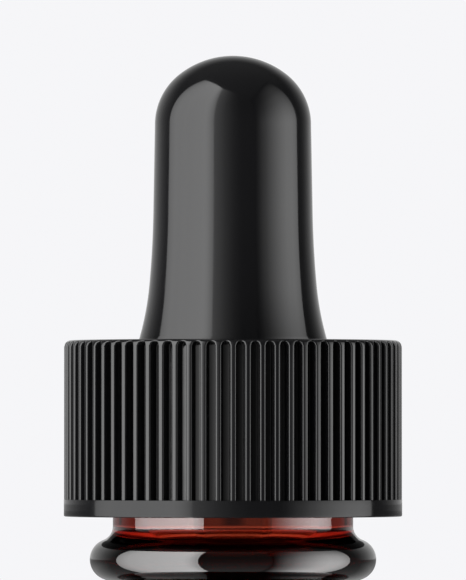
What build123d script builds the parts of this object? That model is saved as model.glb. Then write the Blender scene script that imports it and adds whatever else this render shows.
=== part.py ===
from build123d import *
import math
import os

# A dropper bottle: an amber glass bottle with an 18 mm screw neck, and a dropper made of a ribbed
# cap, a rubber bulb, a glass pipette and a sealing washer. Millimetres, +Z up, with the origin at
# the middle of the base, on the surface that the bottle stands on.

# --- Driving dimensions ---

# Bottle body
BODY_R = 16.6
BODY_WALL = 2.4
SHOULDER_Z = 52.3  # the straight wall ends here
SHOULDER_ARC = 11.0
SHOULDER_INNER_ARC = 9.0
HEEL_ARC = 3.0
FLOOR_Z = 4.6  # the glass floor inside
FLOOR_CORNER_ARC = 4.0
PUSH_UP = 1.0  # height of the hollow under the base
RING_INNER_R = 11.6  # the flat ring that the bottle stands on

# Bottle neck
RIM_Z = 78.6
NECK_R = 7.985
MOUTH_R = 5.75
NECK_ROOT_Z = 64.9  # the neck's straight wall starts here
NECK_ROOT_ARC = 2.5
NECK_INNER_ARC = 3.5
BEAD_CENTRE = (8.13, 67.75)  # middle of the transfer bead's round section
BEAD_ARC = 1.385
BEAD_FILLET = 0.96
RIM_OUTER_ARC = 0.7
RIM_INNER_ARC = 0.5

# Screw thread, right-handed, one start
PITCH = 3.0
THREAD_TURNS = 1.5
GLASS_THREAD_Z = 72.2  # middle of the glass ridge where it starts
GLASS_THREAD_R = 8.95
GLASS_THREAD_BASE = 1.7
GLASS_THREAD_CREST = 0.8
CAP_THREAD_DROP = 1.0  # the cap's ridge bears on the glass ridge from this far below it
CAP_THREAD_LEAD = 48.0  # degrees further round that the cap's ridge starts
CAP_THREAD_R = 8.3
CAP_THREAD_BASE = 1.1
CAP_THREAD_CREST = 0.5
THREAD_ROOT = 0.2  # how far a ridge is sunk into the wall that carries it

# Cap
CAP_R = 11.22
CAP_BOTTOM = 70.6
CAP_HEIGHT = 11.7
CAP_TOP_WALL = 1.2
CAP_BORE_R = 9.15
CAP_SEAT_R = 8.3  # bore round the bulb's flange
CAP_SEAT_Z = 78.9
CAP_HOLE_R = 6.33
CAP_TOP_ARC = 0.45
BAND_R = 11.24
BAND_HEIGHT = 1.13
BAND_ARC = 0.08
RIBS = 72
RIB_TURN = 2.55  # degrees that the first flute is turned from the X axis
FLUTE_WIDTH = 0.59
FLUTE_DEPTH = 0.6
FLUTE_FLOOR_WIDTH = 0.51

# Sealing washer
WASHER_THICK = 0.9
WASHER_R = 8.1
WASHER_BORE_R = 2.66

# Bulb, with heights above the cap's top
FLANGE_R = 7.9
FLANGE_GAP = 0.05  # between the flange and the cap's top wall
BULB_BASE_R = 6.265
FLARE_R = 5.56  # radius where the flare tightens
FLARE_HEIGHT = 3.7
TAPER_END = 8.5  # the straight taper turns into the flare here
TAPER = 1.02  # degrees
DOME_SPRING = 14.38
DOME_R = 5.195
DOME_SIDE_ARC = 4.25
DOME_TOP_ARC = 5.765
BULB_WALL = 1.1
BULB_FLOOR = 1.3  # the hollow starts here
BULB_BORE_R = 2.62  # grips the pipette

# Pipette
PIPETTE_R = 2.6
PIPETTE_BORE_R = 2.0
TIP_Z = 9.5
TIP_R = 1.05
TIP_BORE_R = 0.5
TIP_LENGTH = 2.5
TIP_ROUNDING = 0.2
TAPER_LENGTH = 12.0
LIP_R = 3.4
LIP_HEIGHT = 1.2
LIP_GAP = 0.05  # between the lip and the floor of the bulb's hollow

# --- Heights that follow from them ---

CAP_TOP = CAP_BOTTOM + CAP_HEIGHT
CAP_CEILING = CAP_TOP - CAP_TOP_WALL
FLANGE_BOTTOM = RIM_Z + WASHER_THICK
FLANGE_TOP = CAP_CEILING - FLANGE_GAP
BULB_FLOOR_Z = CAP_TOP + BULB_FLOOR
LIP_Z = BULB_FLOOR_Z + LIP_GAP
PIPETTE_TOP = LIP_Z + LIP_HEIGHT
TAPER_LOW = TIP_Z + TIP_LENGTH
TAPER_HIGH = TAPER_LOW + TAPER_LENGTH


def towards(centre, distance, target):
    """The point at a distance from centre on its way to target. Points are (radius, height)."""
    dr = target[0] - centre[0]
    dz = target[1] - centre[1]
    share = distance / math.hypot(dr, dz)
    return (centre[0] + dr * share, centre[1] + dz * share)


def centre_at(radius, other, distance, side):
    """The centre at this radius that is a distance from another, above it (side 1) or below (-1)."""
    rise = math.sqrt(distance**2 - (radius - other[0]) ** 2)
    return (radius, other[1] + side * rise)


def arc(start, end, centre):
    """The short arc about centre from start to end."""
    size = math.dist(start, centre)
    middle = ((start[0] + end[0]) / 2, (start[1] + end[1]) / 2)
    return ThreePointArc(start, towards(centre, size, middle), end)


def turned(*edges):
    """The solid that a closed outline of (radius, height) sweeps out round the Z axis."""
    return revolve(make_face(Plane.XZ * Curve(edges)), Axis.Z)


def ring(inner, outer, low, high):
    """A plain ring or tube."""
    return turned(Polyline((inner, low), (outer, low), (outer, high), (inner, high), close=True))


def screw_ridge(wall_r, crest_r, base, crest, low, start_angle):
    """A helical ridge that stands on the wall at wall_r, outwards or inwards to crest_r."""
    root_r = wall_r - math.copysign(THREAD_ROOT, crest_r - wall_r)
    root = base + (base - crest) * THREAD_ROOT / abs(crest_r - wall_r)
    section = Polyline(
        (root_r, low - root / 2),
        (crest_r, low - crest / 2),
        (crest_r, low + crest / 2),
        (root_r, low + root / 2),
        close=True,
    )
    path = Helix(PITCH, PITCH * THREAD_TURNS, wall_r, center=(0, 0, low))
    ridge = sweep(make_face(Plane.XZ * section), path=path, is_frenet=True)
    return Rot(0, 0, start_angle) * ridge


def bottle_outside():
    """Edges of the bottle's outside, from the middle of the base up to the top of the rim."""
    heel = (BODY_R - HEEL_ARC, HEEL_ARC)
    shoulder = (BODY_R - SHOULDER_ARC, SHOULDER_Z)
    root = (NECK_R + NECK_ROOT_ARC, NECK_ROOT_Z)
    shoulder_top = towards(shoulder, SHOULDER_ARC, root)
    fillet_r = NECK_R + BEAD_FILLET
    reach = BEAD_ARC + BEAD_FILLET
    below = centre_at(fillet_r, BEAD_CENTRE, reach, -1)
    above = centre_at(fillet_r, BEAD_CENTRE, reach, 1)
    bead_low = towards(BEAD_CENTRE, BEAD_ARC, below)
    bead_high = towards(BEAD_CENTRE, BEAD_ARC, above)
    bead_out = (BEAD_CENTRE[0] + BEAD_ARC, BEAD_CENTRE[1])
    rim = (NECK_R - RIM_OUTER_ARC, RIM_Z - RIM_OUTER_ARC)
    return [
        TangentArc((0, PUSH_UP), (RING_INNER_R, 0), tangent=(1, 0)),
        Line((RING_INNER_R, 0), (heel[0], 0)),
        arc((heel[0], 0), (BODY_R, HEEL_ARC), heel),
        Line((BODY_R, HEEL_ARC), (BODY_R, SHOULDER_Z)),
        arc((BODY_R, SHOULDER_Z), shoulder_top, shoulder),
        arc(shoulder_top, (NECK_R, NECK_ROOT_Z), root),
        Line((NECK_R, NECK_ROOT_Z), (NECK_R, below[1])),
        arc((NECK_R, below[1]), bead_low, below),
        ThreePointArc(bead_low, bead_out, bead_high),
        arc(bead_high, (NECK_R, above[1]), above),
        Line((NECK_R, above[1]), (NECK_R, rim[1])),
        arc((NECK_R, rim[1]), (rim[0], RIM_Z), rim),
    ]


def bottle_inside():
    """Edges of the bottle's inside, from the top of the rim down to the middle of the floor."""
    bore_r = BODY_R - BODY_WALL
    rim = (MOUTH_R + RIM_INNER_ARC, RIM_Z - RIM_INNER_ARC)
    shoulder_z = SHOULDER_Z + SHOULDER_ARC - BODY_WALL - SHOULDER_INNER_ARC
    shoulder = (bore_r - SHOULDER_INNER_ARC, shoulder_z)
    root = centre_at(MOUTH_R + NECK_INNER_ARC, shoulder, SHOULDER_INNER_ARC + NECK_INNER_ARC, 1)
    shoulder_top = towards(shoulder, SHOULDER_INNER_ARC, root)
    corner = (bore_r - FLOOR_CORNER_ARC, FLOOR_Z + FLOOR_CORNER_ARC)
    return [
        Line((NECK_R - RIM_OUTER_ARC, RIM_Z), (rim[0], RIM_Z)),
        arc((rim[0], RIM_Z), (MOUTH_R, rim[1]), rim),
        Line((MOUTH_R, rim[1]), (MOUTH_R, root[1])),
        arc((MOUTH_R, root[1]), shoulder_top, root),
        arc(shoulder_top, (bore_r, shoulder_z), shoulder),
        Line((bore_r, shoulder_z), (bore_r, corner[1])),
        arc((bore_r, corner[1]), (corner[0], FLOOR_Z), corner),
        Line((corner[0], FLOOR_Z), (0, FLOOR_Z)),
        Line((0, FLOOR_Z), (0, PUSH_UP)),
    ]


def make_bottle():
    """Blown glass: push-up base, straight body, round shoulder, transfer bead and threaded neck."""
    glass = turned(*bottle_outside(), *bottle_inside())
    ridge = screw_ridge(
        NECK_R, GLASS_THREAD_R, GLASS_THREAD_BASE, GLASS_THREAD_CREST, GLASS_THREAD_Z, 0
    )
    return glass + ridge


def cap_blank():
    """The cap before its flutes and thread are cut: a shell with a hole in its top."""
    band_top = CAP_BOTTOM + BAND_HEIGHT
    band_low = (BAND_R - BAND_ARC, CAP_BOTTOM + BAND_ARC)
    top = (CAP_R - CAP_TOP_ARC, CAP_TOP - CAP_TOP_ARC)
    return turned(
        Line((CAP_BORE_R, CAP_BOTTOM), (band_low[0], CAP_BOTTOM)),
        arc((band_low[0], CAP_BOTTOM), (BAND_R, band_low[1]), band_low),
        Polyline((BAND_R, band_low[1]), (BAND_R, band_top), (CAP_R, band_top), (CAP_R, top[1])),
        arc((CAP_R, top[1]), (top[0], CAP_TOP), top),
        Polyline(
            (top[0], CAP_TOP),
            (CAP_HOLE_R, CAP_TOP),
            (CAP_HOLE_R, CAP_CEILING),
            (CAP_SEAT_R, CAP_CEILING),
            (CAP_SEAT_R, CAP_SEAT_Z),
            (CAP_BORE_R, CAP_SEAT_Z),
            (CAP_BORE_R, CAP_BOTTOM),
        ),
    )


def flutes():
    """The flat-floored grooves between the ribs, from the band to the top of the cap."""
    past_ribs = 1.0
    floor_r = CAP_R - FLUTE_DEPTH
    half = FLUTE_WIDTH / 2
    floor_half = FLUTE_FLOOR_WIDTH / 2
    end_r = CAP_R + past_ribs
    groove = make_face(
        Polyline(
            (end_r, -half),
            (CAP_R, -half),
            (floor_r, -floor_half),
            (floor_r, floor_half),
            (CAP_R, half),
            (end_r, half),
            (end_r, -half),
        )
    )
    grooves = Sketch() + PolarLocations(0, RIBS, start_angle=RIB_TURN) * groove
    return extrude(Pos(0, 0, CAP_BOTTOM + BAND_HEIGHT) * grooves, CAP_HEIGHT)


def make_cap():
    """Moulded plastic cap: fluted skirt on a plain band, with its thread inside."""
    ridge_z = GLASS_THREAD_Z - CAP_THREAD_DROP + PITCH * CAP_THREAD_LEAD / 360
    ridge = screw_ridge(
        CAP_BORE_R, CAP_THREAD_R, CAP_THREAD_BASE, CAP_THREAD_CREST, ridge_z, CAP_THREAD_LEAD
    )
    return cap_blank() - flutes() + ridge


def dome(inset):
    """Edges of the bulb's side and dome, moved in by a wall thickness: from the taper's end to the top."""
    angle = math.radians(TAPER)
    side = (DOME_R - DOME_SIDE_ARC, CAP_TOP + DOME_SPRING)
    top = centre_at(0, side, DOME_TOP_ARC - DOME_SIDE_ARC, -1)
    spring = (
        side[0] + (DOME_SIDE_ARC - inset) * math.cos(angle),
        side[1] - (DOME_SIDE_ARC - inset) * math.sin(angle),
    )
    low_z = CAP_TOP + TAPER_END
    low = (spring[0] + (spring[1] - low_z) * math.tan(angle), low_z)
    crown = towards(side, -(DOME_SIDE_ARC - inset), top)
    peak = (0, top[1] + DOME_TOP_ARC - inset)
    return [Line(low, spring), arc(spring, crown, side), arc(crown, peak, top)]


def make_bulb():
    """Moulded rubber bulb: a flange under the cap's top, a flared foot, a slim body and a dome."""
    outside = dome(0)
    inside = dome(BULB_WALL)
    low = outside[0] @ 0
    flare_start = (low.X, low.Y)
    flare = (FLARE_R, CAP_TOP + FLARE_HEIGHT)
    down = (math.tan(math.radians(TAPER)), -1)
    upper = TangentArc(flare_start, flare, tangent=down)
    foot = TangentArc(flare, (BULB_BASE_R, CAP_TOP), tangent=upper % 1)
    hollow_low = inside[0] @ 0
    neck = (BULB_BORE_R + BULB_WALL, BULB_FLOOR_Z)
    return turned(
        *outside,
        upper,
        foot,
        Polyline(
            (BULB_BASE_R, CAP_TOP),
            (BULB_BASE_R, FLANGE_TOP),
            (FLANGE_R, FLANGE_TOP),
            (FLANGE_R, FLANGE_BOTTOM),
            (BULB_BORE_R, FLANGE_BOTTOM),
            (BULB_BORE_R, BULB_FLOOR_Z),
            neck,
            (hollow_low.X, hollow_low.Y),
        ),
        *inside,
        Line(inside[-1] @ 1, outside[-1] @ 1),
    )


def taper_arcs(high_r, low_r):
    """Two equal arcs that narrow the pipette from high_r to low_r, each upright at its own end."""
    start = (high_r, TAPER_HIGH)
    middle = ((high_r + low_r) / 2, (TAPER_HIGH + TAPER_LOW) / 2)
    upper = TangentArc(start, middle, tangent=(0, -1))
    return [upper, TangentArc(middle, (low_r, TAPER_LOW), tangent=upper % 1)]


def make_pipette():
    """Drawn glass tube: a lip that the bulb holds, a straight tube and a tapered tip."""
    tip = (TIP_R - TIP_ROUNDING, TIP_Z + TIP_ROUNDING)
    return turned(
        Polyline(
            (PIPETTE_BORE_R, PIPETTE_TOP),
            (LIP_R, PIPETTE_TOP),
            (LIP_R, LIP_Z),
            (PIPETTE_R, LIP_Z),
            (PIPETTE_R, TAPER_HIGH),
        ),
        *taper_arcs(PIPETTE_R, TIP_R),
        Line((TIP_R, TAPER_LOW), (TIP_R, tip[1])),
        arc((TIP_R, tip[1]), (tip[0], TIP_Z), tip),
        Polyline((tip[0], TIP_Z), (TIP_BORE_R, TIP_Z), (TIP_BORE_R, TAPER_LOW)),
        *taper_arcs(PIPETTE_BORE_R, TIP_BORE_R),
        Line((PIPETTE_BORE_R, TAPER_HIGH), (PIPETTE_BORE_R, PIPETTE_TOP)),
    )


def make_washer():
    """Soft plastic washer between the glass rim and the bulb's flange."""
    return ring(WASHER_BORE_R, WASHER_R, RIM_Z, FLANGE_BOTTOM)


NODES = {
    "bottle": make_bottle,
    "screw_cap": make_cap,
    "bulb": make_bulb,
    "pipette": make_pipette,
    "sealing_washer": make_washer,
}

os.makedirs("parts", exist_ok=True)
for node, make in NODES.items():
    export_step(make(), f"parts/{node}.step")
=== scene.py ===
import math

import bmesh
import bpy
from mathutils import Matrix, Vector


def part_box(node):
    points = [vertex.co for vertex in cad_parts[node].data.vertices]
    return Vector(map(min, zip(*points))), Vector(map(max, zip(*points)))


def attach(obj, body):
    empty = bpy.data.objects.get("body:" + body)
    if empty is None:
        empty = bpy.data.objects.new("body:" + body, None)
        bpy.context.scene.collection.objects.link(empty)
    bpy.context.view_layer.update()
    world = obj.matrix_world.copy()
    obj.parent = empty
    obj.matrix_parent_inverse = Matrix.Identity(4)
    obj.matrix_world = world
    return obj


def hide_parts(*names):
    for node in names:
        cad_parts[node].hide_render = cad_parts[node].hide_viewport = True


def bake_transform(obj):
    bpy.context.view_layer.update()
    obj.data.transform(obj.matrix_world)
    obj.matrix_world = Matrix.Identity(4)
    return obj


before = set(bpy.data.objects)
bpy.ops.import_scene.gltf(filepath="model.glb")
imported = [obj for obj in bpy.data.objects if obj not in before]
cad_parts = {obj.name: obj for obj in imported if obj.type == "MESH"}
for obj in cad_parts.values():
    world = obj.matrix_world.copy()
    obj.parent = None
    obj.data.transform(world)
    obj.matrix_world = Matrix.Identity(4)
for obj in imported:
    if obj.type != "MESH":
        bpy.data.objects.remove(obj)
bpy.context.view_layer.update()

# A dropper bottle: amber glass bottle, ribbed cap, rubber bulb, glass pipette and sealing washer.
# Every piece is turned about the Z axis from an outline of (radius, height) points in millimetres.
# The sizes that the frame has are read from it, and the others are named beside the piece they shape.

MM = 0.001


def box_mm(node):
    """Radius, lowest and highest point of a CAD node, in millimetres."""
    low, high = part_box(node)
    return high.x / MM, low.z / MM, high.z / MM


BODY_R, _, RIM_Z = box_mm("bottle")
BAND_R, CAP_BOTTOM, CAP_TOP = box_mm("screw_cap")
FLANGE_R, FLANGE_BOTTOM, BULB_TOP = box_mm("bulb")
LIP_R, TIP_Z, PIPETTE_TOP = box_mm("pipette")
WASHER_R, WASHER_BOTTOM, WASHER_TOP = box_mm("sealing_washer")

# The screw thread, right-handed with one start
PITCH = 3.0
THREAD_TURNS = 1.5
THREAD_FADE = 0.12  # turns over which each end dies away


# --- Camera, at the photographed angle: level with the cap and looking very slightly up ---

VIEW_DISTANCE = 604.0
VIEW_HEIGHT = 38.55  # how much of the object the picture's height takes in
CAMERA_ABOVE_CAP_BOTTOM = 5.68
AIM_ABOVE_CAP_BOTTOM = 15.05
SENSOR = 36.0


def make_camera():
    data = bpy.data.cameras.new("camera")
    data.sensor_fit = "VERTICAL"
    data.sensor_height = SENSOR
    data.lens = SENSOR * VIEW_DISTANCE / VIEW_HEIGHT
    data.clip_end = 10
    camera = bpy.data.objects.new("camera", data)
    place = Vector((0, -VIEW_DISTANCE, CAP_BOTTOM + CAMERA_ABOVE_CAP_BOTTOM)) * MM
    aim = Vector((0, 0, CAP_BOTTOM + AIM_ABOVE_CAP_BOTTOM)) * MM
    camera.location = place
    camera.rotation_euler = (aim - place).to_track_quat("-Z", "Y").to_euler()
    bpy.context.scene.collection.objects.link(camera)
    bpy.context.scene.camera = camera


# --- Studio: soft panels left and right, a faint one in front, a pale room and a pale floor ---

REACH = 0.6  # metres from the object to the side panels. The panels' own sizes are in reaches.
PANEL_LIGHT = 9.5
PANEL_BOTTOM = -3.0
PANEL_FRONT = -1.88  # the left panel comes this far forward, and the front one stands there
CARD_LIGHT = 1.0
CARD_HALF_WIDTH = 0.13
CARD_BOTTOM = 0.08
CARD_TOP = 0.128

# Where each panel starts and ends, (x, y), and the heights of its top corners there
LEFT = ((-1, PANEL_FRONT), (-1, 0.32), (4.5, 2.2))
RIGHT = ((1, -1.6), (1, 0.33), (1.8, 1.8))
FRONT = ((-1, PANEL_FRONT), (0.4, PANEL_FRONT), (4.5, 2.6))
CARD = ((-CARD_HALF_WIDTH, 1), (CARD_HALF_WIDTH, 1), (CARD_TOP, CARD_TOP))

# Stops of (place, brightness), along each panel from start to end and up it
EVEN = [(0, 1), (1, 1)]
LEFT_ALONG = [(0, 0.6), (0.08, 0.68), (0.16, 0.8), (0.24, 0.92), (0.33, 1)]
LEFT_ALONG += [(0.56, 0.93), (0.73, 0.82), (0.88, 0.62), (1, 0.32)]
RIGHT_ALONG = [(0, 0), (0.11, 0.035), (0.21, 0.09), (0.38, 0.235), (0.49, 0.41), (0.6, 0.6)]
RIGHT_ALONG += [(0.69, 0.735), (0.78, 0.78), (0.88, 0.66), (1, 0.35)]
RIGHT_UPWARD = [(0.62, 1), (0.7, 0.76), (0.78, 0.4), (0.86, 0.17), (1, 0)]
FRONT_ALONG = [(0, 0.27), (0.28, 0.17), (0.45, 0.1), (0.62, 0.055), (0.75, 0.025), (1, 0)]
CARD_ALONG = [(0, 0.2), (0.35, 0.02), (0.65, 0.02), (1, 0.2)]

ROOM = (0.92, 0.92, 0.94)
BACK_LEAN = -0.08  # moves the brightest place behind the object to the left
BACK = [(0.3, 0.03), (0.5, 0.24), (0.6, 0.4), (0.7, 0.57), (0.8, 0.75), (0.9, 0.82)]
SEEN_THROUGH_GAIN = 3.0
SEEN_THROUGH_LEAST = 0.2

# Stops of (height, brightness), where 0 is straight down, 0.5 the horizon and 1 straight up
WALL = [(0.3, 0.7), (0.4, 0.65), (0.475, 0.35), (0.493, 0.38)]
WALL += [(0.4955, 0.58), (0.5025, 1), (0.7, 0.9), (0.9, 0.1)]
SHADE = [(0, 1), (0.06, 0.8), (0.12, 0.5), (0.2, 0.37), (0.36, 0.22), (0.5, 0.13), (0.8, 0.09), (1, 0.3)]
SEEN_THROUGH = [(0.2, 0.6), (0.27, 1), (0.38, 1), (0.45, 0.3)]
SEEN_THROUGH += [(0.475, 0.09), (0.5, 0.09), (0.7, 0.1), (0.9, 0.07)]

FLOOR_R = 1.2
FLOOR_SIDES = 96
FLOOR_COLOUR = (0.26, 0.26, 0.265)


def node_of(tree, kind, **values):
    """A new shader node, with its properties and inputs set by name."""
    node = tree.nodes.new(kind)
    for name, value in values.items():
        if name in node.inputs:
            node.inputs[name].default_value = value
        else:
            setattr(node, name, value)
    return node


def calculate(tree, operation, a, b):
    """The result of a maths node. a and b are outputs of other nodes, or plain numbers."""
    node = node_of(tree, "ShaderNodeMath", operation=operation)
    for value, place in zip((a, b), node.inputs):
        if isinstance(value, (int, float)):
            place.default_value = value
        else:
            tree.links.new(value, place)
    return node.outputs[0]


def ramp_of(tree, source, stops):
    """Grey that follows source through stops of (place, brightness)."""
    node = tree.nodes.new("ShaderNodeValToRGB")
    ramp = node.color_ramp
    while len(ramp.elements) < len(stops):
        ramp.elements.new(0.5)
    for element, (place, grey) in zip(ramp.elements, stops):
        element.position = place
        element.color = (grey, grey, grey, 1)
    tree.links.new(source, node.inputs[0])
    return node.outputs[0]


def axes_of(tree, output="Generated"):
    """The X, Y and Z of a texture coordinate."""
    place = node_of(tree, "ShaderNodeTexCoord")
    axes = node_of(tree, "ShaderNodeSeparateXYZ")
    tree.links.new(place.outputs[output], axes.inputs[0])
    return axes.outputs


def panel_material(name, side, along, upward, light, clear):
    """Glows by the stops along and upward. side is the axis that the panel runs along. A clear panel lets
    through what is behind it."""
    material = bpy.data.materials.new(name)
    material.use_nodes = True
    tree = material.node_tree
    tree.nodes.clear()
    axes = axes_of(tree)
    level = calculate(tree, "MULTIPLY", ramp_of(tree, axes[side], along), ramp_of(tree, axes[2], upward))
    surface = node_of(tree, "ShaderNodeEmission", Strength=light)
    tree.links.new(level, surface.inputs["Color"])
    if clear:
        glow = surface
        behind = node_of(tree, "ShaderNodeBsdfTransparent")
        surface = node_of(tree, "ShaderNodeAddShader")
        tree.links.new(glow.outputs[0], surface.inputs[0])
        tree.links.new(behind.outputs[0], surface.inputs[1])
    out = node_of(tree, "ShaderNodeOutputMaterial")
    tree.links.new(surface.outputs[0], out.inputs["Surface"])
    return material


def make_panel(
    name, start, end, tops, along, upward=EVEN, bottom=PANEL_BOTTOM, light=PANEL_LIGHT, clear=False
):
    """An upright light panel from start to end, each (x, y) in reaches. tops are the heights of its two top
    corners."""
    corners = [(*start, bottom), (*end, bottom), (*end, tops[1]), (*start, tops[0])]
    data = bpy.data.meshes.new(name)
    data.from_pydata([Vector(corner) * REACH for corner in corners], [], [(0, 1, 2, 3)])
    panel = bpy.data.objects.new(name, data)
    bpy.context.scene.collection.objects.link(panel)
    panel.visible_camera = False
    panel.visible_transmission = False
    side = 0 if start[1] == end[1] else 1
    data.materials.append(panel_material(name, side, along, upward, light, clear))
    return panel


def make_back_card():
    """A dim card behind the bottle that is seen only through its glass."""
    card = make_panel("back_card", *CARD, CARD_ALONG, bottom=CARD_BOTTOM, light=CARD_LIGHT)
    card.visible_transmission = True
    card.visible_glossy = False
    card.visible_diffuse = False
    card.visible_shadow = False


def make_panels(black_pieces):
    """The left panel is even from bottom to top, and the right one dims upwards. The front one lights only
    the black pieces."""
    make_panel("left_panel", *LEFT, LEFT_ALONG)
    make_panel("right_panel", *RIGHT, RIGHT_ALONG, RIGHT_UPWARD)
    front = make_panel("front_panel", *FRONT, FRONT_ALONG, clear=True)
    lit = bpy.data.collections.new("lit_by_front_panel")
    for piece in black_pieces:
        lit.objects.link(piece)
    front.light_linking.receiver_collection = lit
    make_back_card()


def room_light(tree, through):
    """How bright the room is for gloss, and for glass where through is 1. Both see a wall and a floor that
    are brightest behind the object: the floor just under the horizon is dimmer than the wall just over it."""
    axes = axes_of(tree)
    behind = calculate(tree, "ADD", axes[1], calculate(tree, "MULTIPLY", axes[0], BACK_LEAN))
    back = ramp_of(tree, behind, BACK)
    height = calculate(tree, "MULTIPLY_ADD", axes[2], 0.5)
    height.node.inputs[2].default_value = 0.5
    level = node_of(tree, "ShaderNodeMix")
    backdrop = calculate(tree, "MULTIPLY", ramp_of(tree, height, SEEN_THROUGH), SEEN_THROUGH_GAIN)
    tree.links.new(through, level.inputs[0])
    tree.links.new(ramp_of(tree, height, WALL), level.inputs[2])
    tree.links.new(backdrop, level.inputs[3])
    least_through = calculate(tree, "MULTIPLY", through, SEEN_THROUGH_LEAST)
    least = calculate(tree, "MAXIMUM", ramp_of(tree, height, SHADE), least_through)
    return calculate(tree, "MAXIMUM", calculate(tree, "MULTIPLY", back, level.outputs[0]), least)


def make_room():
    """The camera sees an even pale room, and gloss and glass see the one of room_light."""
    world = bpy.data.worlds.new("room")
    world.use_nodes = True
    tree = world.node_tree
    tree.nodes.clear()
    path = node_of(tree, "ShaderNodeLightPath")
    through = path.outputs["Is Transmission Ray"]
    even = node_of(tree, "ShaderNodeBackground", Color=(*ROOM, 1))
    shaded = node_of(tree, "ShaderNodeBackground")
    tree.links.new(room_light(tree, through), shaded.inputs["Strength"])
    mix = node_of(tree, "ShaderNodeMixShader")
    out = node_of(tree, "ShaderNodeOutputWorld")
    tree.links.new(calculate(tree, "MAXIMUM", path.outputs["Is Glossy Ray"], through), mix.inputs[0])
    tree.links.new(even.outputs[0], mix.inputs[1])
    tree.links.new(shaded.outputs[0], mix.inputs[2])
    tree.links.new(mix.outputs[0], out.inputs["Surface"])
    bpy.context.scene.world = world
    bpy.context.scene.view_settings.view_transform = "Standard"


def make_floor():
    mesh = bmesh.new()
    bmesh.ops.create_circle(mesh, cap_ends=True, segments=FLOOR_SIDES, radius=FLOOR_R)
    data = bpy.data.meshes.new("floor")
    mesh.to_mesh(data)
    mesh.free()
    floor = bpy.data.objects.new("floor", data)
    bpy.context.scene.collection.objects.link(floor)
    floor.visible_glossy = False
    floor.visible_shadow = False
    material, _ = new_material("floor", FLOOR_COLOUR, roughness=0.9)
    data.materials.append(material)


# --- Materials ---

AMBER = (0.95, 0.8, 0.6)
AMBER_THROUGH = (0.926, 0.53, 0.45)  # roughly what is left of white light after a millimetre of the glass
AMBER_DENSITY = 1000  # per metre, which makes the colour above that of a millimetre
# Painted shade: near-black and deep brown colours given to light that enters the glass from outside below the
# bead
NECK_PAINTED_SHADE = (0.004, 0.0015, 0.0008)
BODY_PAINTED_SHADE = (0.14, 0.07, 0.03)
BODY_GLASS_Z = 50.0  # the body's painted shade turns into the neck's between this height and the next
NECK_GLASS_Z = 63.0
PAINTED_SHADE_END_Z = 69.2  # the neck's painted shade ends between this height and the next
PAINTED_SHADE_GONE_Z = 69.35
PAINTED_SHADE_R = 7.0  # the painted shade is outside this radius, which leaves out the neck's bore
BLACK = (0.0022, 0.0022, 0.0024)
BLACK_SHINE = 0.2
BAND_SHINE = 0.14
RIB_SHINE = 0.25
BAND_HEIGHT = 1.13
BAND_TOP = CAP_BOTTOM + BAND_HEIGHT  # the cap's ribs start here
SHINE_STEP = 0.05  # the height over which the band's shine turns into the ribs'
NOISE_LOW = 0.3  # a noise is hardly ever outside these two
NOISE_HIGH = 0.7


def new_material(name, colour, **values):
    """A material with one Principled shader. values are its inputs, with _ for a space."""
    material = bpy.data.materials.new(name)
    material.use_nodes = True
    shader = material.node_tree.nodes["Principled BSDF"]
    shader.inputs["Base Color"].default_value = (*colour, 1)
    for key, value in values.items():
        shader.inputs[key.replace("_", " ").title().replace("Ior", "IOR")].default_value = value
    return material, shader


def noise(tree, size, detail=2.0, stretch=(1, 1, 1)):
    """Noise fixed to the object, with features of this size in millimetres."""
    place = node_of(tree, "ShaderNodeTexCoord")
    scale = node_of(tree, "ShaderNodeMapping")
    scale.inputs["Scale"].default_value = stretch
    texture = node_of(tree, "ShaderNodeTexNoise", Scale=1 / (size * MM), Detail=detail)
    tree.links.new(place.outputs["Object"], scale.inputs["Vector"])
    tree.links.new(scale.outputs[0], texture.inputs["Vector"])
    return texture.outputs["Fac"]


def add_relief(material, shader, layers):
    """Stacks bumps. Each layer is (noise, height in millimetres)."""
    tree = material.node_tree
    last = None
    for height, depth in layers:
        bump = node_of(tree, "ShaderNodeBump", Distance=depth * MM)
        tree.links.new(height, bump.inputs["Height"])
        if last:
            tree.links.new(last, bump.inputs["Normal"])
        last = bump.outputs[0]
    tree.links.new(last, shader.inputs["Normal"])


def vary(material, shader, name, source, low, high):
    """Lets one of the shader's inputs wander from low to high with a noise."""
    tree = material.node_tree
    spread = node_of(tree, "ShaderNodeMapRange")
    spread.inputs["From Min"].default_value = NOISE_LOW
    spread.inputs["From Max"].default_value = NOISE_HIGH
    spread.inputs["To Min"].default_value = low
    spread.inputs["To Max"].default_value = high
    tree.links.new(source, spread.inputs["Value"])
    tree.links.new(spread.outputs["Result"], shader.inputs[name])


def share_between(tree, source, low, high):
    """0 where source is below low, 1 above high and even between them. low and high are in millimetres."""
    share = node_of(tree, "ShaderNodeMapRange", **{"From Min": low * MM, "From Max": high * MM})
    tree.links.new(source, share.inputs["Value"])
    return share.outputs["Result"]


def mix_colours(tree, share, first, second):
    """The first colour where share is 0 and the second where it is 1. Each is an output or a plain colour."""
    mix = node_of(tree, "ShaderNodeMix", data_type="RGBA")
    tree.links.new(share, mix.inputs[0])
    for colour, place in ((first, mix.inputs[6]), (second, mix.inputs[7])):
        if isinstance(colour, tuple):
            place.default_value = (*colour, 1)
        else:
            tree.links.new(colour, place)
    return mix.outputs[2]


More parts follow.
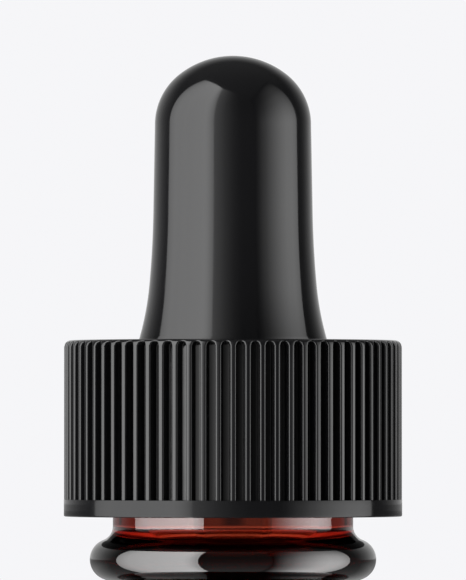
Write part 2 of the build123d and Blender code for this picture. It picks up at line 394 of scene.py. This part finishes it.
def amber_glass():
    """Amber glass: most of its colour comes through its thickness. From the bead down, light that goes in
    from outside is given painted shade, a deeper tint that makes the glass look dark inside."""
    material, shader = new_material("amber_glass", AMBER, transmission_weight=1.0, ior=1.52)
    tree = material.node_tree
    add_relief(material, shader, [(noise(tree, size=9, detail=1.0, stretch=(1, 1, 0.4)), 0.003)])
    vary(material, shader, "Roughness", noise(tree, size=4), low=0.0, high=0.015)
    axes = axes_of(tree, "Object")
    # Painted shade: light entering from outside, below the bead and outside the bore, takes the dark colours
    above = share_between(tree, axes[2], PAINTED_SHADE_END_Z, PAINTED_SHADE_GONE_Z)
    squares = [calculate(tree, "MULTIPLY", axes[i], axes[i]) for i in (0, 1)]
    inner = calculate(tree, "LESS_THAN", calculate(tree, "ADD", *squares), (PAINTED_SHADE_R * MM) ** 2)
    leaving = node_of(tree, "ShaderNodeNewGeometry").outputs["Backfacing"]
    unshaded = calculate(tree, "MAXIMUM", calculate(tree, "MAXIMUM", above, leaving), inner)
    neck = share_between(tree, axes[2], BODY_GLASS_Z, NECK_GLASS_Z)
    painted_shade = mix_colours(tree, neck, BODY_PAINTED_SHADE, NECK_PAINTED_SHADE)
    tree.links.new(mix_colours(tree, unshaded, painted_shade, AMBER), shader.inputs["Base Color"])
    absorb = node_of(tree, "ShaderNodeVolumeAbsorption", Color=(*AMBER_THROUGH, 1), Density=AMBER_DENSITY)
    tree.links.new(absorb.outputs[0], tree.nodes["Material Output"].inputs["Volume"])
    return material


def clear_glass():
    """Drawn borosilicate tube, with faint draw lines along it."""
    material, shader = new_material("clear_glass", (0.8, 0.82, 0.81), transmission_weight=1.0, ior=1.47)
    tree = material.node_tree
    add_relief(material, shader, [(noise(tree, size=0.8, detail=1.0, stretch=(1, 1, 0.02)), 0.002)])
    vary(material, shader, "Roughness", noise(tree, size=3), low=0.0, high=0.03)
    return material


def bulb_rubber():
    """Glossy black rubber, with the faint waviness of a moulded skin."""
    material, shader = new_material("bulb_rubber", BLACK, specular_ior_level=BLACK_SHINE)
    tree = material.node_tree
    waves = noise(tree, size=6, detail=1.0)
    grain = noise(tree, size=0.25, detail=3.0)
    add_relief(material, shader, [(waves, 0.012), (grain, 0.0004)])
    vary(material, shader, "Roughness", noise(tree, size=2.5, detail=4.0), low=0.06, high=0.1)
    return material


def cap_plastic():
    """Moulded black polypropylene with a fine grain. The plain band is a little duller than the ribs."""
    material, shader = new_material("cap_plastic", BLACK, specular_ior_level=BLACK_SHINE)
    tree = material.node_tree
    waves = noise(tree, size=5, detail=1.0)
    grain = noise(tree, size=0.12, detail=3.0)
    add_relief(material, shader, [(waves, 0.006), (grain, 0.00015)])
    vary(material, shader, "Roughness", noise(tree, size=1.5, detail=4.0), low=0.08, high=0.14)
    shine = share_between(tree, axes_of(tree, "Object")[2], BAND_TOP, BAND_TOP + SHINE_STEP)
    shine.node.inputs["To Min"].default_value = BAND_SHINE
    shine.node.inputs["To Max"].default_value = RIB_SHINE
    tree.links.new(shine, shader.inputs["Specular IOR Level"])
    return material


def washer_plastic():
    """Soft milky polyethylene."""
    material, shader = new_material("washer_plastic", (0.82, 0.82, 0.78), subsurface_weight=0.3)
    shader.inputs["Subsurface Radius"].default_value = (1.0, 0.9, 0.8)
    shader.inputs["Subsurface Scale"].default_value = 0.5 * MM
    tree = material.node_tree
    add_relief(material, shader, [(noise(tree, size=0.2, detail=3.0), 0.003)])
    vary(material, shader, "Roughness", noise(tree, size=0.6), low=0.35, high=0.5)
    return material


# --- Outlines. steps is how many straight pieces a line or an arc is made of ---


def straight(start, end, steps=1):
    """Points on the line from start to end, without start."""
    dr = (end[0] - start[0]) / steps
    dz = (end[1] - start[1]) / steps
    return [(start[0] + dr * i, start[1] + dz * i) for i in range(1, steps + 1)]


def bend(start, end, centre, steps):
    """Points on the short arc about centre from start to end, without start."""
    radius = math.dist(start, centre)
    first = math.atan2(start[1] - centre[1], start[0] - centre[0])
    turn = math.remainder(math.atan2(end[1] - centre[1], end[0] - centre[0]) - first, 2 * math.pi)
    angles = [first + turn * i / steps for i in range(1, steps + 1)]
    return [(centre[0] + radius * math.cos(a), centre[1] + radius * math.sin(a)) for a in angles]


def tangent_centre(start, end, slope):
    """The centre of the arc from start to end that leaves start in the direction slope."""
    chord = Vector(end) - Vector(start)
    side = Vector((-slope[1], slope[0])).normalized()
    return tuple(Vector(start) + side * chord.length_squared / (2 * chord.dot(side)))


def towards(centre, distance, target):
    """The point at a distance from centre on its way to target."""
    share = distance / math.dist(centre, target)
    return (centre[0] + (target[0] - centre[0]) * share, centre[1] + (target[1] - centre[1]) * share)


def centre_at(radius, other, distance, side):
    """The centre at this radius that is a distance from another, above it (side 1) or below (-1)."""
    return (radius, other[1] + side * math.sqrt(distance**2 - (radius - other[0]) ** 2))


def rounded(corners, radius, steps=3):
    """The corners of an outline, with each but the first and last rounded off."""
    points = [corners[0]]
    for before, corner, after in zip(corners, corners[1:], corners[2:]):
        here = Vector(corner)
        back = (Vector(before) - here).normalized()
        ahead = (Vector(after) - here).normalized()
        half = back.angle(ahead) / 2
        start = tuple(here + back * radius / math.tan(half))
        end = tuple(here + ahead * radius / math.tan(half))
        centre = tuple(here + (back + ahead).normalized() * radius / math.sin(half))
        points += [start, *bend(start, end, centre, steps)]
    return points + [corners[-1]]


# --- Meshes ---

MERGE = 1e-7  # metres, closer than any two points that should stay apart
SAME = 1e-6  # millimetres, less than any two sizes differ
SHARP = math.radians(35)
BOTTLE_COLUMNS = 240
BULB_COLUMNS = 180
PIPETTE_COLUMNS = 96
WASHER_COLUMNS = 120


def smooth_step(low, high, value):
    """0 at low, 1 at high, and an S-curve between them."""
    t = min(max((value - low) / (high - low), 0), 1)
    return t * t * (3 - 2 * t)


def even_angles(count):
    return [2 * math.pi * i / count for i in range(count)]


def at(radius, angle, z):
    return (radius * math.cos(angle), radius * math.sin(angle), z)


def skin(name, rings, closed):
    """A closed smooth surface through rings of points in millimetres. Points that meet are joined, so a ring
    with no radius is a pole. closed joins the last ring to the first."""
    count = len(rings[0])
    points = [Vector(p) * MM for ring in rings for p in ring]
    faces = []
    last = len(rings) if closed else len(rings) - 1
    for row in range(last):
        low = row * count
        high = (row + 1) % len(rings) * count
        for i in range(count):
            j = (i + 1) % count
            faces.append((low + i, low + j, high + j, high + i))
    data = bpy.data.meshes.new(name)
    data.from_pydata(points, [], faces)
    mesh = bmesh.new()
    mesh.from_mesh(data)
    bmesh.ops.remove_doubles(mesh, verts=mesh.verts, dist=MERGE)
    bmesh.ops.recalc_face_normals(mesh, faces=mesh.faces)
    mesh.to_mesh(data)
    mesh.free()
    data.shade_smooth()
    data.set_sharp_from_angle(angle=SHARP)
    piece = bpy.data.objects.new(name, data)
    bpy.context.scene.collection.objects.link(piece)
    return piece


def unmoved(r, z, angle):
    return r, z


def lathe(name, outline, angles, moved=unmoved):
    """The outline turned about Z. moved(radius, height, angle) may shift each of its points."""
    rings = []
    for r, z in outline:
        ring = [(angle, *moved(r, z, angle)) for angle in angles]
        rings.append([at(ring_r, angle, ring_z) for angle, ring_r, ring_z in ring])
    return skin(name, rings, closed=outline[0][0] > 0)


def thread_share(z, angle, start_z, start_angle, base, crest):
    """How much of its full height a helical ridge has here, from 0 to 1. Its ends die away."""
    turn = ((angle - start_angle) / (2 * math.pi)) % 1
    along = turn + round((z - start_z) / PITCH - turn)
    if along < 0:
        along = turn
    if along > THREAD_TURNS:
        along = turn + int(THREAD_TURNS - turn)
    off = abs(z - start_z - PITCH * along)
    ends = smooth_step(0, THREAD_FADE, along) * smooth_step(0, THREAD_FADE, THREAD_TURNS - along)
    return ends * (1 - smooth_step(crest / 2, base / 2, off))


# --- Bottle ---

BODY_WALL = 2.4
SHOULDER_Z = 52.3
SHOULDER_ARC = 11.0
SHOULDER_INNER_ARC = 9.0
HEEL_ARC = 3.0
FLOOR_Z = 4.6
FLOOR_CORNER_ARC = 4.0
PUSH_UP = 1.0
RING_INNER_R = 11.6
NECK_R = 7.985
MOUTH_R = 5.75
NECK_ROOT_Z = 64.9
NECK_ROOT_ARC = 2.5
NECK_INNER_ARC = 3.5
BEAD_CENTRE = (8.13, 67.75)
BEAD_ARC = 1.385
BEAD_FILLET = 0.96
RIM_OUTER_ARC = 0.7
RIM_INNER_ARC = 0.5
GLASS_THREAD_Z = 72.2
GLASS_THREAD_ANGLE = 0.0
GLASS_THREAD_HEIGHT = 1.0
GLASS_THREAD_BASE = 2.0
GLASS_THREAD_CREST = 0.5
THREAD_ROWS_PER_MM = 7
KNURLS = 60  # shallow grip notches round the ring that the bottle stands on
KNURL_DEPTH = 0.12
SEAM_ANGLE = math.radians(-28)  # the halves of the mould meet here and opposite
SEAM_HEIGHT = 0.05
SEAM_HALF_WIDTH = 0.3


def bottle_outside():
    """From the middle of the base up to the top of the rim."""
    heel = (BODY_R - HEEL_ARC, HEEL_ARC)
    shoulder = (BODY_R - SHOULDER_ARC, SHOULDER_Z)
    root = (NECK_R + NECK_ROOT_ARC, NECK_ROOT_Z)
    shoulder_top = towards(shoulder, SHOULDER_ARC, root)
    below = centre_at(NECK_R + BEAD_FILLET, BEAD_CENTRE, BEAD_ARC + BEAD_FILLET, -1)
    above = centre_at(NECK_R + BEAD_FILLET, BEAD_CENTRE, BEAD_ARC + BEAD_FILLET, 1)
    bead_low = towards(BEAD_CENTRE, BEAD_ARC, below)
    bead_out = (BEAD_CENTRE[0] + BEAD_ARC, BEAD_CENTRE[1])
    bead_high = towards(BEAD_CENTRE, BEAD_ARC, above)
    rim = (NECK_R - RIM_OUTER_ARC, RIM_Z - RIM_OUTER_ARC)
    push_up = tangent_centre((0, PUSH_UP), (RING_INNER_R, 0), (1, 0))
    thread_rows = round((rim[1] - above[1]) * THREAD_ROWS_PER_MM)
    return [
        (0, PUSH_UP),
        *bend((0, PUSH_UP), (RING_INNER_R, 0), push_up, 12),
        *straight((RING_INNER_R, 0), (heel[0], 0), 6),
        *bend((heel[0], 0), (BODY_R, HEEL_ARC), heel, 16),
        *straight((BODY_R, HEEL_ARC), (BODY_R, SHOULDER_Z), 24),
        *bend((BODY_R, SHOULDER_Z), shoulder_top, shoulder, 32),
        *bend(shoulder_top, (NECK_R, NECK_ROOT_Z), root, 14),
        *straight((NECK_R, NECK_ROOT_Z), (NECK_R, below[1]), 2),
        *bend((NECK_R, below[1]), bead_low, below, 12),
        *bend(bead_low, bead_out, BEAD_CENTRE, 16),
        *bend(bead_out, bead_high, BEAD_CENTRE, 16),
        *bend(bead_high, (NECK_R, above[1]), above, 12),
        *straight((NECK_R, above[1]), (NECK_R, rim[1]), thread_rows),
        *bend((NECK_R, rim[1]), (rim[0], RIM_Z), rim, 8),
    ]


def bottle_inside():
    """From the top of the rim down to the middle of the floor."""
    bore_r = BODY_R - BODY_WALL
    rim = (MOUTH_R + RIM_INNER_ARC, RIM_Z - RIM_INNER_ARC)
    shoulder = (bore_r - SHOULDER_INNER_ARC, SHOULDER_Z + SHOULDER_ARC - BODY_WALL - SHOULDER_INNER_ARC)
    root = centre_at(MOUTH_R + NECK_INNER_ARC, shoulder, SHOULDER_INNER_ARC + NECK_INNER_ARC, 1)
    shoulder_top = towards(shoulder, SHOULDER_INNER_ARC, root)
    corner = (bore_r - FLOOR_CORNER_ARC, FLOOR_Z + FLOOR_CORNER_ARC)
    return [
        *straight((NECK_R - RIM_OUTER_ARC, RIM_Z), (rim[0], RIM_Z), 2),
        *bend((rim[0], RIM_Z), (MOUTH_R, rim[1]), rim, 8),
        *straight((MOUTH_R, rim[1]), (MOUTH_R, root[1]), 8),
        *bend((MOUTH_R, root[1]), shoulder_top, root, 16),
        *bend(shoulder_top, (bore_r, shoulder[1]), shoulder, 28),
        *straight((bore_r, shoulder[1]), (bore_r, corner[1]), 24),
        *bend((bore_r, corner[1]), (corner[0], FLOOR_Z), corner, 12),
        *straight((corner[0], FLOOR_Z), (0, FLOOR_Z), 8),
    ]


def seam_height(z, angle):
    """The mould seam on the body: a low ridge that dies away on the shoulder."""
    off = abs(math.remainder(angle - SEAM_ANGLE, math.pi)) * BODY_R
    ridge = 1 - smooth_step(0, SEAM_HALF_WIDTH, off)
    return SEAM_HEIGHT * ridge * (1 - smooth_step(SHOULDER_Z, NECK_ROOT_Z, z))


def bottle_point(r, z, angle):
    """Adds the thread, the grip notches under the base and the mould seams to the plain outline."""
    start = (GLASS_THREAD_Z, GLASS_THREAD_ANGLE)
    if abs(r - NECK_R) < SAME and z > BEAD_CENTRE[1]:
        share = thread_share(z, angle, *start, GLASS_THREAD_BASE, GLASS_THREAD_CREST)
        return r + GLASS_THREAD_HEIGHT * share, z
    if z < SAME and RING_INNER_R < r < BODY_R - HEEL_ARC:
        return r, KNURL_DEPTH * (0.5 - 0.5 * math.cos(KNURLS * angle))
    on_body = r > BODY_R - BODY_WALL / 2 and z >= HEEL_ARC
    on_shoulder = r > MOUTH_R + BODY_WALL and SHOULDER_Z < z < NECK_ROOT_Z
    if on_body or on_shoulder:
        return r + seam_height(z, angle), z
    return r, z


def bottle_angles():
    """Even columns, with extra ones a third of a degree apart at the seams."""
    seams = [SEAM_ANGLE + side + math.radians(k / 3) for side in (0, math.pi) for k in range(-3, 4)]
    return sorted({round(a % (2 * math.pi), 5) for a in even_angles(BOTTLE_COLUMNS) + seams})


def make_bottle():
    return lathe("amber_bottle", bottle_outside() + bottle_inside(), bottle_angles(), bottle_point)


# --- Cap ---

CAP_R = 11.22
CAP_TOP_WALL = 1.2
CAP_BORE_R = 9.15
CAP_SEAT_R = 8.3
CAP_SEAT_Z = 78.9
CAP_HOLE_R = 6.33
CAP_TOP_ARC = 0.45
CAP_EDGE_ARC = 0.12
BAND_ARC = 0.1
RIBS = 72
RIB_TURN = math.radians(2.55)  # how far the first flute is turned from the X axis
FLUTE_HALF_WIDTH = 0.295
FLUTE_DEPTH = 0.8
FLUTE_DRAFT = math.radians(3)
FLUTE_FLOOR_ARC = 0.05
RIB_ARC = 0.13  # rounds the ribs' edges
ARCH_DROP = 0.44
ARCH_Z = CAP_TOP - ARCH_DROP  # the flutes' round upper ends start to close here
CAP_THREAD_Z = 71.6
CAP_THREAD_ANGLE = math.radians(48)
CAP_THREAD_HEIGHT = 0.85
CAP_THREAD_BASE = 1.3
CAP_THREAD_CREST = 0.3


def flute_profile():
    """(offset along the skirt, depth) from the middle of a flute out to the middle of a rib."""
    floor = (FLUTE_HALF_WIDTH - FLUTE_DEPTH * math.tan(FLUTE_DRAFT), FLUTE_DEPTH)
    edge = (FLUTE_HALF_WIDTH, 0)
    wall = ((floor[0] + edge[0]) / 2, FLUTE_DEPTH / 2)
    low = rounded([(0, FLUTE_DEPTH), floor, wall], FLUTE_FLOOR_ARC, 4)
    return low + rounded([wall, edge, (math.pi * CAP_R / RIBS, 0)], RIB_ARC, 6)[1:]


PROFILE = flute_profile()


def skirt_ring(r, z, closing=None):
    """One ring of the cap, with columns that follow the flutes. closing is the profile point at which the
    flutes' ends have closed here, or None where there are no flutes."""
    ring = []
    last = len(PROFILE) - 1
    for flute in range(RIBS):
        middle = RIB_TURN + 2 * math.pi * flute / RIBS
        sides = [(-1, i) for i in range(last, 0, -1)] + [(1, i) for i in range(last)]
        for side, i in sides:
            offset, depth = PROFILE[i]
            if closing is None:
                depth = 0
            elif i < last:
                shut, shut_depth = PROFILE[closing]
                depth = shut_depth if i <= closing else depth
                offset = math.sqrt(max(offset**2 - shut**2, 0))
            ring.append(at(r - depth, middle + side * offset / CAP_R, z))
    return ring


def plain_ring(r, z, moved=unmoved):
    """A ring where the flutes don't reach: it has as many points, but only two places for each rib."""
    ring = []
    last = len(PROFILE) - 1
    half = math.pi / RIBS
    for flute in range(RIBS):
        middle = RIB_TURN + 2 * math.pi * flute / RIBS
        sides = [-1] + [0] * (2 * last - 1)
        for side in sides:
            ring_r, ring_z = moved(r, z, middle + side * half)
            ring.append(at(ring_r, middle + side * half, ring_z))
    return ring


def top_radius(z):
    """The skirt's radius at a height, where its top edge is rounded."""
    rise = max(z - (CAP_TOP - CAP_TOP_ARC), 0)
    return CAP_R - CAP_TOP_ARC + math.sqrt(CAP_TOP_ARC**2 - rise**2)


def cap_inside():
    """From the top face in through the hole, under the top, down the bore and back to the bottom edge."""
    ceiling = CAP_TOP - CAP_TOP_WALL
    return rounded(
        [
            (CAP_R - CAP_TOP_ARC, CAP_TOP),
            (CAP_HOLE_R, CAP_TOP),
            (CAP_HOLE_R, ceiling),
            (CAP_SEAT_R, ceiling),
            (CAP_SEAT_R, CAP_SEAT_Z),
            (CAP_BORE_R, CAP_SEAT_Z),
            (CAP_BORE_R, CAP_SEAT_Z - 2 * CAP_EDGE_ARC),
        ],
        CAP_EDGE_ARC,
    )


def cap_thread(r, z, angle):
    share = thread_share(z, angle, CAP_THREAD_Z, CAP_THREAD_ANGLE, CAP_THREAD_BASE, CAP_THREAD_CREST)
    return r - CAP_THREAD_HEIGHT * share, z


def make_cap():
    band_low = (BAND_R - BAND_ARC, CAP_BOTTOM + BAND_ARC)
    step = BAND_R - CAP_R
    band_high = (BAND_R - step, BAND_TOP - step)
    band = [
        (band_low[0], CAP_BOTTOM),
        *bend((band_low[0], CAP_BOTTOM), (BAND_R, band_low[1]), band_low, 5),
        *straight((BAND_R, band_low[1]), (BAND_R, band_high[1]), 3),
        *bend((BAND_R, band_high[1]), (CAP_R, BAND_TOP), band_high, 3),
    ]
    rings = [skirt_ring(r, z) for r, z in band]
    fluted = [band[-1]] + straight(band[-1], (CAP_R, ARCH_Z), 8)
    rings += [skirt_ring(CAP_R, z, 0) for _, z in fluted]
    for closing, (offset, _) in enumerate(PROFILE[1:-1], start=1):
        rings.append(skirt_ring(top_radius(ARCH_Z + offset), ARCH_Z + offset, closing))
    arch_top = ARCH_Z + PROFILE[-2][0]
    top = (CAP_R - CAP_TOP_ARC, CAP_TOP - CAP_TOP_ARC)
    edge = bend((top_radius(arch_top), arch_top), (top[0], CAP_TOP), top, 3)
    inside = cap_inside()
    rings += [plain_ring(r, z) for r, z in edge + inside[1:]]
    bore_top = inside[-1]
    bore_low = (CAP_BORE_R, CAP_BOTTOM + CAP_EDGE_ARC)
    bore_rows = round((bore_top[1] - bore_low[1]) * THREAD_ROWS_PER_MM)
    rings += [plain_ring(r, z, cap_thread) for r, z in straight(bore_top, bore_low, bore_rows)]
    foot = (CAP_BORE_R + CAP_EDGE_ARC, CAP_BOTTOM + CAP_EDGE_ARC)
    rings += [plain_ring(r, z) for r, z in bend(bore_low, (foot[0], CAP_BOTTOM), foot, 3)]
    return skin("ribbed_cap", rings, closed=True)


# --- Bulb, with heights above the cap's top ---

FLANGE_TOP_DROP = 1.25
BULB_BASE_R = 6.265
FLARE_R = 5.56
FLARE_HEIGHT = 3.7
TAPER_END = 8.5
TAPER = math.radians(1.02)
DOME_SPRING = 14.345
DOME_R = 5.195
DOME_SIDE_ARC = 4.25
DOME_TOP_ARC = 5.765
BULB_WALL = 1.1
BULB_FLOOR = 1.3
BULB_BORE_R = 2.62
BULB_EDGE_ARC = 0.15


def dome(inset):
    """The bulb's side and dome, moved in by a wall thickness: from the end of the taper to the top."""
    side = (DOME_R - DOME_SIDE_ARC, CAP_TOP + DOME_SPRING)
    top = centre_at(0, side, DOME_TOP_ARC - DOME_SIDE_ARC, -1)
    reach = DOME_SIDE_ARC - inset
    spring = (side[0] + reach * math.cos(TAPER), side[1] - reach * math.sin(TAPER))
    low_z = CAP_TOP + TAPER_END
    low = (spring[0] + (spring[1] - low_z) * math.tan(TAPER), low_z)
    crown = towards(side, -reach, top)
    peak = (0, top[1] + DOME_TOP_ARC - inset)
    return [low, *straight(low, spring, 10), *bend(spring, crown, side, 24), *bend(crown, peak, top, 12)]


def bulb_outline():
    """From the top of the dome down the outside, round the flange and up to the top of the hollow."""
    outside = dome(0)
    inside = dome(BULB_WALL)
    low = outside[0]
    flare = (FLARE_R, CAP_TOP + FLARE_HEIGHT)
    base = (BULB_BASE_R, CAP_TOP)
    upper = tangent_centre(low, flare, (math.tan(TAPER), -1))
    slope = (upper[1] - flare[1], flare[0] - upper[0])
    foot = tangent_centre(flare, base, slope)
    floor = CAP_TOP + BULB_FLOOR
    flange = [
        (BULB_BASE_R, CAP_TOP - FLANGE_TOP_DROP),
        (FLANGE_R, CAP_TOP - FLANGE_TOP_DROP),
        (FLANGE_R, FLANGE_BOTTOM),
        (BULB_BORE_R, FLANGE_BOTTOM),
        (BULB_BORE_R, floor),
        (BULB_BORE_R + BULB_WALL, floor),
    ]
    return [
        *reversed(outside),
        *bend(low, flare, upper, 12),
        *bend(flare, base, foot, 14),
        *rounded([base, *flange, inside[0]], BULB_EDGE_ARC)[1:],
        *inside[1:],
    ]


def make_bulb():
    return lathe("rubber_bulb", bulb_outline(), even_angles(BULB_COLUMNS))


# --- Pipette and washer ---

PIPETTE_R = 2.6
PIPETTE_BORE_R = 2.0
TIP_R = 1.05
TIP_BORE_R = 0.5
TIP_LENGTH = 2.5
TIP_ROUNDING = 0.2
TAPER_LENGTH = 12.0
LIP_HEIGHT = 1.2
LIP_INSIDE = 1.0  # the bore's even rows end this far below the top
LIP_ARC = 0.28
WASHER_BORE_R = 2.66
WASHER_ARC = 0.12


def taper(high_r, low_r):
    """From the straight tube down to the tip: two equal arcs, each upright at its own end."""
    high = (high_r, TIP_Z + TIP_LENGTH + TAPER_LENGTH)
    low = (low_r, TIP_Z + TIP_LENGTH)
    middle = ((high_r + low_r) / 2, (high[1] + low[1]) / 2)
    upper = tangent_centre(high, middle, (0, -1))
    lower = tangent_centre(low, middle, (0, 1))
    return [*bend(high, middle, upper, 10), *reversed([low, *bend(low, middle, lower, 10)[:-1]])]


def make_pipette():
    taper_top = TIP_Z + TIP_LENGTH + TAPER_LENGTH
    lip_low = PIPETTE_TOP - LIP_HEIGHT
    bore_top = (PIPETTE_BORE_R, PIPETTE_TOP - LIP_INSIDE)
    under_lip = (PIPETTE_R, lip_low - 2 * LIP_ARC)
    lip = [bore_top, (PIPETTE_BORE_R, PIPETTE_TOP), (LIP_R, PIPETTE_TOP), (LIP_R, lip_low)]
    lip += [(PIPETTE_R, lip_low - LIP_ARC), under_lip]
    tip = [(TIP_R, TIP_Z + 2 * TIP_ROUNDING), (TIP_R, TIP_Z)]
    tip += [(TIP_BORE_R, TIP_Z), (TIP_BORE_R, TIP_Z + TIP_R)]
    outline = [
        *rounded(lip, LIP_ARC, 5),
        *straight(under_lip, (PIPETTE_R, taper_top), 10),
        *taper(PIPETTE_R, TIP_R),
        *rounded(tip, TIP_ROUNDING, 5),
        *reversed(taper(PIPETTE_BORE_R, TIP_BORE_R)),
        *straight((PIPETTE_BORE_R, taper_top), bore_top, 10)[:-1],
    ]
    return lathe("glass_pipette", outline, even_angles(PIPETTE_COLUMNS))


def make_washer():
    middle = (WASHER_BORE_R + WASHER_R) / 2
    corners = [(middle, WASHER_TOP), (WASHER_R, WASHER_TOP), (WASHER_R, WASHER_BOTTOM)]
    corners += [(WASHER_BORE_R, WASHER_BOTTOM), (WASHER_BORE_R, WASHER_TOP), (middle, WASHER_TOP)]
    return lathe("washer", rounded(corners, WASHER_ARC)[:-1], even_angles(WASHER_COLUMNS))


# --- The scene ---


def finish_piece(piece, node, material):
    """Gives a piece its material and hides the CAD node that it stands for."""
    piece.data.materials.append(material)
    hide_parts(node)


def make_object():
    bottle = make_bottle()
    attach(bottle, "bottle")
    finish_piece(bottle, "bottle", amber_glass())
    cap = make_cap()
    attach(cap, "cap")
    finish_piece(cap, "screw_cap", cap_plastic())
    pipette = make_pipette()
    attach(pipette, "dropper")
    finish_piece(pipette, "pipette", clear_glass())
    washer = make_washer()
    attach(washer, "dropper")
    finish_piece(washer, "sealing_washer", washer_plastic())
    bulb = make_bulb()
    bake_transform(bulb)
    finish_piece(bulb, "bulb", bulb_rubber())
    return [cap, bulb]


make_camera()
make_room()
make_floor()
make_panels(black_pieces=make_object())
